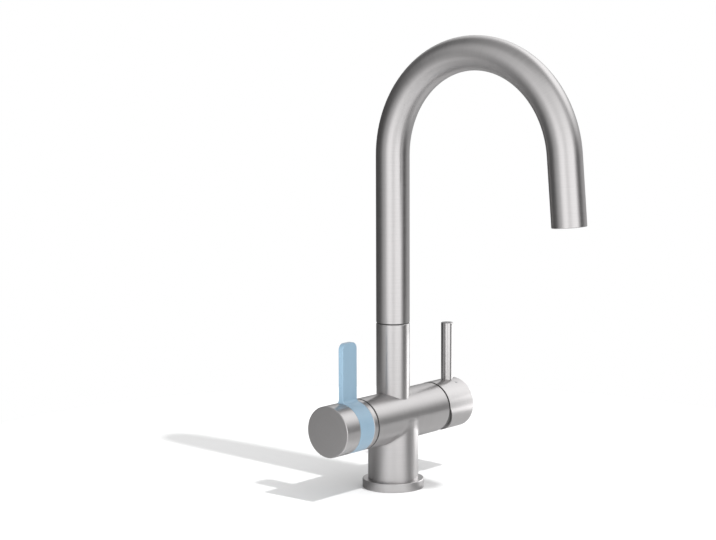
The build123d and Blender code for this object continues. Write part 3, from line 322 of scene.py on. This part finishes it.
def ring_brushed(
    name, axis, centre, end_sign, colour, roughness, grain=2600.0, draw=0.7, wear=1.0, flat_face=False,
    seams=(),
):
    """Metal brushed or turned round an axis, its end face too, with painted shade darkening it in its seams.
    """
    look, tree, shader = new_look(name, {"Metallic": 1.0, "Anisotropic": draw})
    sideways = [k for k in range(3) if k != axis]
    place = add_node(tree, "TexCoord").outputs["Object"]
    to_axis = [-centre[k] if k in sideways else 0.0 for k in range(3)]
    on_axis = add_node(tree, "Mapping", {"Vector": place, "Location": to_axis}).outputs["Vector"]
    across = [float(k in sideways) for k in range(3)]
    outward = add_node(tree, "VectorMath", {0: on_axis, 1: across}, operation="MULTIPLY").outputs["Vector"]
    radius = add_node(tree, "VectorMath", {0: outward}, operation="LENGTH").outputs["Value"]
    ray = add_node(tree, "VectorMath", {0: outward}, operation="NORMALIZE").outputs["Vector"]
    parts = add_node(tree, "SeparateXYZ", {"Vector": on_axis}).outputs
    along = arithmetic(tree, "MULTIPLY_ADD", parts[axis], end_sign, radius)
    rings = brush_rings(tree, along, *(parts[k] for k in sideways), grain)
    # now and then a coarser stroke of the belt
    coarse = add_node(tree, "VectorMath", {0: rings, "Scale": 0.13}, operation="SCALE").outputs["Vector"]
    stroke = add_node(tree, "TexNoise", {"Vector": coarse, "Scale": 1.0, "Detail": 1.0}).outputs["Fac"]
    marks = add_node(
        tree, "Mix", {"Factor": 0.35, "A": scratches(tree, rings), "B": stroke}, data_type="FLOAT"
    ).outputs["Result"]
    roughen(tree, shader, marks, roughness - 0.035 * wear, roughness + 0.045 * wear, 0.3, 0.7)
    toned = tinted(tree, marks, colour, 1 - 0.12 * wear, 1 + 0.12 * wear)
    # painted shade: in a narrow band at each seam the colour is darkened to 0.22, as where shade falls
    # between two parts
    for seam, half_width in seams:
        beside = arithmetic(tree, "ABSOLUTE", arithmetic(tree, "SUBTRACT", parts[axis], seam))
        edge = {"From Min": half_width - 0.0002, "From Max": half_width + 0.0001, "To Min": 0.22}
        painted_seam_shade = add_node(tree, "MapRange", {"Value": beside, **edge}).outputs["Result"]
        toned = add_node(tree, "VectorMath", {0: toned, "Scale": painted_seam_shade}, operation="SCALE").outputs["Vector"]
    tree.links.new(toned, shader.inputs["Base Color"])
    emboss(tree, shader, marks, 0.13 * wear, 0.00005)
    # reflections are drawn out along the tube and inward over its end, or
    # straight up an end face that is brushed level
    inward = [-end_sign if k == axis else 0.0 for k in range(3)]
    if flat_face:
        inward[2] = 0.05
        lengthwise = add_node(tree, "CombineXYZ", dict(enumerate(inward)))
    else:
        lengthwise = add_node(tree, "VectorMath", {0: ray, 1: inward}, operation="ADD")
    tree.links.new(lengthwise.outputs["Vector"], shader.inputs["Tangent"])
    return look


def turn_outward(merge=0.0):
    """Closes an edit: merges what lies closer than merge and turns every face outward."""
    bpy.ops.mesh.select_all(action="SELECT")
    if merge:
        bpy.ops.mesh.remove_doubles(threshold=merge)
    bpy.ops.mesh.normals_make_consistent(inside=False)
    bpy.ops.mesh.select_all(action="DESELECT")
    bpy.ops.object.mode_set(mode="OBJECT")


stainless = (0.453, 0.442, 0.442)
cross_axis = (0.0, 0.0, 0.060)
# the seams between the parts, each with the half width of its painted shade
filter_seam = (-0.0447, 0.00100)
mixer_seam = (0.0515, 0.00085)
upright_steel = ring_brushed("upright_brushed_steel", 2, (0, 0, 0), 1, stainless, 0.33)
level_steel = ring_brushed(
    "level_brushed_steel", 0, cross_axis, -1, stainless, 0.36, seams=(filter_seam, mixer_seam)
)
dress(["column", "neck"], upright_steel)
dress(["cross_body"], level_steel)

# The weld between column and cross body is ground soft: the two tubes run
# into each other, narrowly, along the whole seam.
column_r = 0.0211
cross_r = 0.0212
shoulder_z = 0.0565
shoulder_reach = 0.008
weld_soft_sides = 0.0018
weld_soft_front = 0.0014
weld_proud = 0.000015
weld_sunk = 0.00005
weld_start_r = 0.002
weld_turns = 160
weld_steps = 26
weld_spread = 1.2        # the strip reaches this many soft widths from the seam
weld_run_out = 0.10      # how far it runs on where the tubes touch at a slant
weld_out_most = 0.0085
weld_down_most = 0.0095
weld_rim_sink = 0.00008
weld_back = 0.0015       # the hidden edge behind the skin
settling_rounds = 12
small_step = 0.00001
merge_gap = 0.000002


def weld_depth(point, soft):
    """How far a point lies outside the two tubes, run together over a soft width."""
    beside_column = math.hypot(point.x, point.y) - column_r
    beside_column += max(0.0, point.z - shoulder_z) ** 2 / (2 * shoulder_reach)
    beside_cross = math.hypot(point.y, point.z - cross_axis[2]) - cross_r
    shared = max(0.0, soft - abs(beside_column - beside_cross)) / soft
    proud = (weld_proud + weld_sunk) * min(1.0, 6 * shared) - weld_sunk
    return min(beside_column, beside_cross) - soft * shared**2 / 4 - proud


def weld_slope(point, depth, soft):
    """Direction and rate in which the depth grows."""
    steps = [Vector([small_step * (k == way) for k in range(3)]) for way in range(3)]
    return Vector((weld_depth(point + step, soft) - depth) / small_step for step in steps)


bpy.ops.mesh.primitive_torus_add(
    major_segments=weld_turns,
    minor_segments=weld_steps,
    major_radius=column_r + weld_start_r,
    minor_radius=weld_start_r,
)
weld_fillet = bpy.context.object
weld_fillet.name = "weld_fillet"
for count, point in enumerate(weld_fillet.data.vertices):
    turn_at = 2 * math.pi * (count // weld_steps) / weld_turns
    step = count % weld_steps
    aside, ahead = math.cos(turn_at), math.sin(turn_at)
    soft = weld_soft_sides + (weld_soft_front - weld_soft_sides) * ahead**4
    seam = Vector((column_r * aside, column_r * ahead, cross_axis[2] - cross_r * abs(aside)))
    outward = Vector((aside / math.sqrt(aside**2 + 0.06), ahead * abs(aside), ahead**2)).normalized()
    out_width = min(weld_out_most, weld_spread * soft / (1.3 * abs(aside) + weld_run_out))
    down_width = min(weld_down_most, weld_spread * soft / (abs(aside) + weld_run_out))
    share = 2 * step / (weld_steps - 2) - 1
    if step < weld_steps - 1:
        spot = seam + (share * out_width * outward if share > 0 else Vector((0, 0, share * down_width)))
        for _ in range(settling_rounds):
            depth = weld_depth(spot, soft)
            slope = weld_slope(spot, depth, soft)
            spot -= depth * slope / max(slope.length_squared, 0.1)
        if step in (0, weld_steps - 2):
            spot -= weld_rim_sink * slope.normalized()
    else:
        spot = seam - weld_back * Vector((aside, ahead, 0)) + Vector((0, 0, weld_back))
    point.co = spot
bpy.ops.object.mode_set(mode="EDIT")
turn_outward(merge_gap)
bpy.ops.object.shade_smooth_by_angle(angle=math.radians(35))
weld_fillet.data.materials.append(upright_steel)
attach(weld_fillet, "root")
low_card.light_linking.receiver_collection.objects.link(weld_fillet)
bpy.ops.object.select_all(action="DESELECT")

# ----------------------------------------------------------- base flange
# Turned stainless foot ring, brushed like the column that stands in it, and
# the black rubber ring in its underside that seals it to the worktop.
flange_steel = ring_brushed(
    "flange_brushed_steel", 2, (0, 0, 0), 1, stainless, 0.30, grain=2200.0, draw=0.55
)
dress(["base_flange"], flange_steel)


def soft_rubber(name, colour, roughness):
    """Moulded rubber: matt, faintly mottled, with a fine skin."""
    look, tree, shader = new_look(name, {"Specular IOR Level": 0.4})
    place = add_node(tree, "TexCoord").outputs["Object"]
    skin = add_node(tree, "TexNoise", {"Vector": place, "Scale": 2400.0, "Detail": 4.0}).outputs["Fac"]
    mottle = add_node(tree, "TexNoise", {"Vector": place, "Scale": 260.0, "Detail": 2.0}).outputs["Fac"]
    tree.links.new(tinted(tree, mottle, colour, 0.75, 1.3), shader.inputs["Base Color"])
    roughen(tree, shader, skin, roughness - 0.08, roughness + 0.08)
    emboss(tree, shader, skin, 0.25, 0.00004)
    return look


black_rubber = soft_rubber("black_rubber", (0.022, 0.022, 0.023), 0.62)
dress(["base_seal"], black_rubber)

# ------------------------------------------------ shank, washers and nut
# Brass pipe through the tap hole, threaded all the way, with a rubber
# washer, a zinc plated steel washer and a brass nut that clamp the tap to
# the worktop from below.
brass = (0.62, 0.44, 0.19)
turned_brass = ring_brushed("turned_brass", 2, (0, 0, 0), 1, brass, 0.27, grain=1500.0, draw=0.4)
dress(["lock_nut"], turned_brass)
dress(["clamp_seal"], black_rubber)


def zinc_plated(name, colour, roughness, crystals=900.0):
    """Plated metal: cloudy crystals with a soft grey shine."""
    look, tree, shader = new_look(name, {"Metallic": 1.0})
    place = add_node(tree, "TexCoord").outputs["Object"]
    crystal = add_node(tree, "TexVoronoi", {"Vector": place, "Scale": crystals}).outputs["Color"]
    cloud = add_node(tree, "TexNoise", {"Vector": place, "Scale": 180.0, "Detail": 5.0}).outputs["Fac"]
    cell = add_node(tree, "SeparateXYZ", {"Vector": crystal}).outputs["X"]
    mottle = arithmetic(tree, "MULTIPLY", cell, cloud)
    tree.links.new(tinted(tree, mottle, colour, 0.85, 1.3), shader.inputs["Base Color"])
    roughen(tree, shader, mottle, roughness - 0.05, roughness + 0.12)
    emboss(tree, shader, cloud, 0.12, 0.00004)
    return look


fixing_zinc = zinc_plated("zinc_plated_steel", (0.50, 0.51, 0.52), 0.34)
dress(["clamp_washer"], fixing_zinc)

# the pipe is turned down to the foot of its thread, and the thread is one
# pointed ridge wound round it from the foot up
shank_r = 0.0164
shank_wall = 0.0019
shank_top, shank_foot = 0.0145, -0.058
thread_depth = 0.0009
thread_pitch = 0.0015
thread_top = -0.0016
thread_foot = -0.0566
ridge_r = 0.00095
ridge_flat = 0.8
level_gap = 0.000001
bpy.ops.mesh.primitive_cylinder_add(
    vertices=96,
    radius=shank_r - thread_depth,
    depth=shank_top - shank_foot,
    end_fill_type="NGON",
    location=(0, 0, (shank_top + shank_foot) / 2),
)
shank_pipe = bpy.context.object
shank_pipe.name = "shank_pipe"
bpy.ops.object.transform_apply(location=True, rotation=True, scale=True)
bpy.ops.object.mode_set(mode="EDIT")
bpy.ops.mesh.select_mode(type="FACE")
bpy.ops.mesh.select_all(action="DESELECT")
bpy.ops.object.mode_set(mode="OBJECT")
for face in shank_pipe.data.polygons:
    face.select = abs(face.normal.z) > 0.5
bpy.ops.object.mode_set(mode="EDIT")
bpy.ops.mesh.inset(thickness=shank_wall)
bpy.ops.mesh.bridge_edge_loops()
bpy.ops.mesh.select_all(action="DESELECT")
bpy.ops.object.mode_set(mode="OBJECT")
wall_middle_r = shank_r - thread_depth - shank_wall / 2
for edge in shank_pipe.data.edges:
    ends = [shank_pipe.data.vertices[k].co for k in edge.vertices]
    level_edge = abs(ends[0].z - ends[1].z) < level_gap
    edge.select = level_edge and all(end.xy.length > wall_middle_r for end in ends)
bpy.ops.object.mode_set(mode="EDIT")
bpy.ops.mesh.select_mode(type="EDGE")
bpy.ops.mesh.bevel(offset=0.0005, segments=2)
bpy.ops.mesh.select_mode(type="VERT")
turn_outward()
bpy.ops.object.select_all(action="DESELECT")
bpy.ops.mesh.primitive_circle_add(
    vertices=6,
    radius=ridge_r,
    fill_type="NOTHING",
    location=(shank_r - ridge_r, 0, thread_foot),
    rotation=(math.radians(90), 0, 0),
)
shank_thread = bpy.context.object
bpy.ops.object.transform_apply(location=True, rotation=True, scale=True)
for point in shank_thread.data.vertices:
    point.co.z = thread_foot + (point.co.z - thread_foot) * ridge_flat
winding = shank_thread.modifiers.new("winding", "SCREW")
winding.axis = "Z"
winding.screw_offset = thread_pitch
winding.iterations = round((thread_top - thread_foot) / thread_pitch)
winding.steps = 64
winding.render_steps = 64
winding.use_merge_vertices = False
bpy.ops.object.modifier_apply(modifier="winding")
bpy.ops.object.mode_set(mode="EDIT")
bpy.ops.mesh.select_all(action="DESELECT")
bpy.ops.mesh.select_non_manifold()
bpy.ops.mesh.edge_face_add()
turn_outward()
shank_pipe.select_set(True)
bpy.context.view_layer.objects.active = shank_pipe
bpy.ops.object.join()
bpy.ops.object.shade_smooth_by_angle(angle=math.radians(35))
shank_pipe.data.materials.append(turned_brass)
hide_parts("threaded_shank")
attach(shank_pipe, "root")
bpy.ops.object.select_all(action="DESELECT")

# --------------------------------------------- water plates and barrel
# Machined brass under and in the cross body: the plate with the three hose
# ports, the plate with the drilled ways, and the barrel that carries the
# water to both valves. Two zinc plated screws hold them together, and a
# small pipe leads the filtered water up.
dress(["hose_plate", "way_plate", "filter_riser"], turned_brass)
barrel_brass = ring_brushed("turned_brass_barrel", 0, cross_axis, 1, brass, 0.27, grain=1500.0, draw=0.4)
dress(["valve_core", "valve_body", "valve_spindle", "cartridge_nut"], barrel_brass)
dress(["block_screw_pair", "latch_screw"], fixing_zinc)
dress(["riser_o_ring", "cap_o_ring", "nipple_o_rings"], black_rubber)


# ------------------------------------------------------- mixer cartridge
# White plastic housing, base, rotor and disc driver, moulded, with two
# polished ceramic discs that slide on each other. The stem and its pin are
# zinc plated steel.
def moulded_plastic(name, colour, roughness, sheen=0.0):
    """Moulded plastic: even colour with faint flow marks and a fine grained skin."""
    look, tree, shader = new_look(name, {"IOR": 1.46, "Sheen Weight": sheen, "Sheen Roughness": 0.45})
    place = add_node(tree, "TexCoord").outputs["Object"]
    grain = add_node(tree, "TexNoise", {"Vector": place, "Scale": 3000.0, "Detail": 2.0}).outputs["Fac"]
    flow_place = add_node(tree, "Mapping", {"Vector": place, "Scale": (90.0, 90.0, 28.0)}).outputs["Vector"]
    flow = add_node(
        tree, "TexNoise", {"Vector": flow_place, "Scale": 1.0, "Detail": 3.0, "Distortion": 0.6}
    ).outputs["Fac"]
    tree.links.new(tinted(tree, flow, colour, 0.93, 1.07), shader.inputs["Base Color"])
    roughen(tree, shader, grain, roughness - 0.06, roughness + 0.06)
    emboss(tree, shader, grain, 0.12, 0.00003)
    return look


white_plastic = moulded_plastic("white_plastic", (0.78, 0.77, 0.73), 0.42)
dress(["cartridge_base", "cartridge_housing", "cartridge_rotor", "disc_driver"], white_plastic)
dress(["guide_rings", "filter_nozzle"], white_plastic)
dress(["cartridge_stem", "pivot_pin"], fixing_zinc)

ceramic, tree, shader = new_look("lapped_ceramic", {"IOR": 1.7})
place = add_node(tree, "TexCoord").outputs["Object"]
speck = add_node(
    tree, "TexNoise", {"Vector": place, "Scale": 1900.0, "Detail": 3.0, "Roughness": 0.7}
).outputs["Fac"]
cream = add_node(tree, "ValToRGB", {"Fac": speck})
cream.color_ramp.elements[0].position = 0.30
cream.color_ramp.elements[0].color = (0.56, 0.53, 0.47, 1)
cream.color_ramp.elements[1].position = 0.55
cream.color_ramp.elements[1].color = (0.79, 0.77, 0.71, 1)
tree.links.new(cream.outputs["Color"], shader.inputs["Base Color"])
roughen(tree, shader, speck, 0.08, 0.26)
dress(["fixed_disc", "moving_disc", "valve_fixed_disc", "valve_turned_disc"], ceramic)

# ---------------------------------------------- dome behind the knob
# Turned cover over the cartridge, brushed metal coloured dark grey. It shows in
# the seam and in the crescent where the knob is cut back so that it can tilt.
dome_metal = ring_brushed("dark_satin_metal", 0, cross_axis, 1, (0.115, 0.113, 0.112), 0.42, draw=0.4)
dress(["dome_cover"], dome_metal)

# ------------------------------------------------- mixer knob and pin
# Solid stainless knob with its own brushing, and the straight pin lever
# screwed into its top. A small grey enamel dot marks the cold side, and a
# grub screw underneath holds the knob on the stem.
knob_steel = ring_brushed("knob_brushed_steel", 0, cross_axis, 1, stainless, 0.30, seams=(mixer_seam,))
dress(["mixer_knob"], knob_steel)
pin_axis = (0.0750, 0.0, 0.0)
pin_steel = ring_brushed("pin_brushed_steel", 2, pin_axis, 1, stainless, 0.19, wear=0.2)
dress(["pin_lever"], pin_steel)
dress(["knob_grub_screw"], fixing_zinc)
dot_enamel = moulded_plastic("grey_enamel", (0.34, 0.34, 0.345), 0.4)
dress(["index_dot"], dot_enamel)


# ---------------------------------------------------- dark bearing rings
# Black plastic sleeve in the seam beside the collar, and the thin black ring
# that the spout turns on. They show only as the dark line in each seam. A turned
# black ring put in the seam beside the collar is painted shade in that seam.
def lathe(name, profile, centre, axis, turns):
    """A piece turned from its profile: points of distance along the axis and radius, in millimetres."""
    bpy.ops.mesh.primitive_circle_add(vertices=len(profile), radius=0.01, fill_type="NOTHING")
    piece = bpy.context.object
    piece.name = name
    along = Vector(axis)
    across = Vector((0, 0, 1)) if axis[2] == 0 else Vector((1, 0, 0))
    for point, (run, radius) in zip(piece.data.vertices, profile):
        point.co = Vector(centre) + along * (run / 1000) + across * (radius / 1000)
    bpy.ops.object.mode_set(mode="EDIT")
    if profile[0][1] == 0:
        # a solid piece: its profile starts and ends on the axis and stays open there
        bpy.ops.mesh.select_all(action="DESELECT")
        bpy.ops.object.mode_set(mode="OBJECT")
        for edge in piece.data.edges:
            edge.select = set(edge.vertices) == {0, len(profile) - 1}
        bpy.ops.object.mode_set(mode="EDIT")
        bpy.ops.mesh.select_mode(type="EDGE")
        bpy.ops.mesh.delete(type="EDGE_FACE")
        bpy.ops.mesh.select_mode(type="VERT")
    bpy.ops.mesh.select_all(action="SELECT")
    bpy.ops.mesh.spin(steps=turns, angle=2 * math.pi, center=centre, axis=axis)
    turn_outward(merge_gap)
    bpy.ops.object.shade_smooth_by_angle(angle=math.radians(30))
    return piece


dark_plastic = moulded_plastic("dark_bearing_plastic", (0.030, 0.030, 0.031), 0.48)
dress(["bearing_ring", "slide_ring"], dark_plastic)
to_filter = (-1, 0, 0)
# a dark ring put into the seam beside the collar to paint the shade there
seam_shade_ring_profile = [
    (44.12, 18.05), (44.12, 20.75), (44.25, 20.88), (44.95, 20.88), (45.10, 20.70), (45.10, 18.05),
]
seam_shade_ring = lathe("seam_shade_ring", seam_shade_ring_profile, cross_axis, to_filter, turns=160)
seam_shade_ring.data.materials.append(dark_plastic)
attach(seam_shade_ring, "root")
bpy.ops.object.select_all(action="DESELECT")

# ------------------------------------------- collar and its hub screw
# Stainless collar between body and blue ring, one piece with the hub that
# the ring and the cap sit on, brushed round like the cross body.
collar_steel = ring_brushed("collar_brushed_steel", 0, cross_axis, -1, stainless, 0.34, seams=(filter_seam,))
dress(["lever_hub"], collar_steel)
dress(["hub_screw"], fixing_zinc)

# ----------------------------------------------------------- filter lever
# One moulding in light blue plastic with a satin skin: a ring round the hub
# and a flat upright blade that flares into it.
blue_plastic = moulded_plastic("light_blue_plastic", (0.245, 0.37, 0.475), 0.42, sheen=0.25)
dress(["filter_lever"], blue_plastic)

# --------------------------------------------------------------- end cap
# Drawn stainless cap pushed into the hub over the screw. Its side is brushed
# round, its flat face is brushed straight across, with a small rounded edge.
cap_steel = ring_brushed("cap_brushed_steel", 0, cross_axis, -1, stainless, 0.36, flat_face=True)
cap_end, cap_r, cap_edge = 85.2, 21.2, 0.7
cap_profile = [(cap_end, 0), (cap_end, 6.0), (cap_end, cap_r - cap_edge - 0.08)]
for step in range(7):
    round_at = math.radians(15 * step)
    edge_in = cap_edge * (1 - math.cos(round_at))
    edge_down = cap_edge * (1 - math.sin(round_at))
    cap_profile.append((cap_end - edge_in, cap_r - edge_down))
cap_profile += [
    (cap_end - cap_edge - 0.08, cap_r), (68.85, cap_r), (68.70, cap_r), (68.50, 21.12), (68.42, 20.95),
    (68.40, 20.8), (68.40, 18.8), (82.8, 18.8), (82.8, 14.9), (65.91, 14.9), (65.91, 13.5), (64.09, 13.5),
    (64.09, 14.9), (63.0, 14.9), (63.0, 12.5), (82.8, 12.5), (82.8, 0),
]
cap_shell = lathe("cap_shell", cap_profile, cross_axis, to_filter, turns=192)
cap_shell.data.materials.append(cap_steel)
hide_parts("end_cap")
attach(cap_shell, "filter_handle")
bpy.ops.object.select_all(action="DESELECT")

# ------------------------------------------------------------------ spout
# Bent stainless tube, brushed round the tube all the way along the bend to
# the outlet, so its rings follow the tube's own centre line.
bend_centre = (0.0, -0.0852, 0.2793)
bend_r = 0.0852
spout_steel, tree, shader = new_look("spout_brushed_steel", {"Metallic": 1.0, "Anisotropic": 0.7})
place = add_node(tree, "TexCoord").outputs["Object"]
to_bend = [-v for v in bend_centre]
from_bend = add_node(tree, "Mapping", {"Vector": place, "Location": to_bend}).outputs["Vector"]
parts = add_node(tree, "SeparateXYZ", {"Vector": from_bend}).outputs
above = arithmetic(tree, "MAXIMUM", parts["Z"], 0.0)
below = arithmetic(tree, "MINIMUM", parts["Z"], 0.0)
round_bend = arithmetic(tree, "ARCTAN2", above, parts["Y"])
down = arithmetic(tree, "MULTIPLY", below, arithmetic(tree, "SIGN", parts["Y"]))
along = arithmetic(tree, "MULTIPLY_ADD", round_bend, bend_r, down)
outward = add_node(tree, "VectorMath", {0: from_bend}, operation="LENGTH").outputs["Value"]
scratch = scratches(tree, brush_rings(tree, along, parts["X"], outward, 2600.0))
roughen(tree, shader, scratch, 0.29, 0.37, 0.3, 0.7)
tree.links.new(tinted(tree, scratch, stainless, 0.88, 1.12), shader.inputs["Base Color"])
emboss(tree, shader, scratch, 0.13, 0.00005)
backward = arithmetic(tree, "MULTIPLY", above, -1.0)
lengthwise = add_node(tree, "CombineXYZ", {1: backward, 2: parts["Y"]})
tree.links.new(lengthwise.outputs["Vector"], shader.inputs["Tangent"])
dress(["spout_tube"], spout_steel)

# ----------------------------------------------- inside and end of spout
# The brass nipple that turns in the neck on plastic guide rings, the soft
# white hose that leads the filtered water to its own nozzle, and the
# aerator in the outlet: a satin metal holder with a grey plastic screen.
dress(["swivel_nipple"], turned_brass)
hose_plastic = moulded_plastic("soft_white_hose", (0.70, 0.72, 0.72), 0.34)
dress(["filter_hose"], hose_plastic)
aerator_metal = zinc_plated("satin_chromed_holder", (0.47, 0.47, 0.47), 0.26, crystals=4200.0)
dress(["aerator_holder"], aerator_metal)
screen_plastic = moulded_plastic("grey_screen_plastic", (0.33, 0.34, 0.35), 0.45)
dress(["aerator_screen"], screen_plastic)
